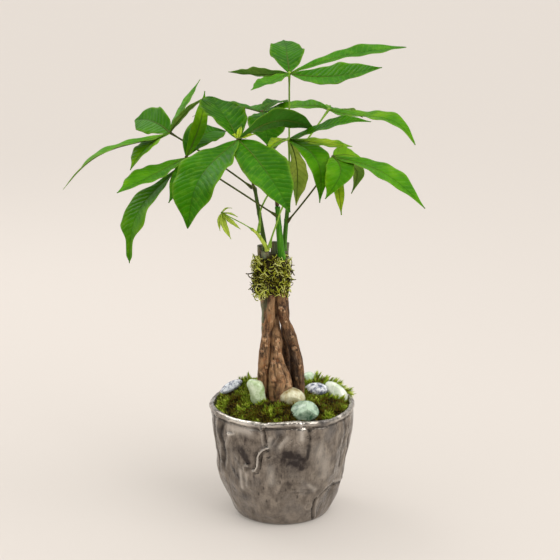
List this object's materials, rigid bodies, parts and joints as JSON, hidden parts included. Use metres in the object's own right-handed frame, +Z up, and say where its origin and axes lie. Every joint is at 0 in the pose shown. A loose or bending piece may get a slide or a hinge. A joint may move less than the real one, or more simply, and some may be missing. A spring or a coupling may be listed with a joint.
{
  "type": "potted money tree",
  "caption": "Small braided-trunk money tree with palmate leaves, a moss collar, moss and tumbled pebbles in a rumpled glazed pot; it stands by itself.",
  "frame": {"origin": "centre of the pot's flat foot, on the surface it stands on", "axes": "+Z up the plant, +X to the viewer's right, +Y away from the viewer of the pictured side"},
  "size_m": [0.3224, 0.2441, 0.4565],
  "materials": {
    "glaze": "rumpled pewter-coloured metallic glaze, satin gloss",
    "soil": "loose dark peat potting mix, matte",
    "moss": "living cushion and feather moss, matte",
    "collar_moss": "dried curled sheet moss, matte",
    "jute": "jute twine, matte",
    "bark": "brown woody bark with leaf scars, matte",
    "stem_green": "smooth green shoot, satin",
    "young_green": "yellow-green new growth, satin",
    "leaf_green": "green leaf blade, waxy satin",
    "pebble_grey": "tumbled mottled blue-grey stone, polished",
    "pebble_pale": "tumbled pale green stone, polished",
    "pebble_milky": "tumbled milky stone, polished",
    "pebble_honey": "tumbled yellowish green stone, polished",
    "pebble_green": "tumbled green stone, polished"
  },
  "bodies": {
    "root": {"pot": "glaze", "soil": "soil", "moss_bed": "moss", "moss_collar": "collar_moss", "twine": "jute", "trunk_left_back": "bark", "trunk_left_front": "bark", "trunk_centre": "bark", "trunk_right_front": "bark", "trunk_right_back": "bark", "shoot_left": "stem_green", "shoot_middle": "stem_green", "shoot_right": "stem_green", "shoot_young": "young_green", "leaf_young": "young_green", "leaf_top": "leaf_green", "leaf_right_back": "leaf_green", "leaf_centre": "leaf_green", "leaf_right": "leaf_green", "leaf_front": "leaf_green", "leaf_left_high": "leaf_green", "leaf_left_low": "leaf_green", "leaf_back": "leaf_green", "pebble_grey_left": "pebble_grey", "pebble_grey_right": "pebble_grey", "pebble_pale_tall": "pebble_pale", "pebble_pale_back": "pebble_pale", "pebble_milky": "pebble_milky", "pebble_honey": "pebble_honey", "pebble_green": "pebble_green"}
  },
  "joints": []
}
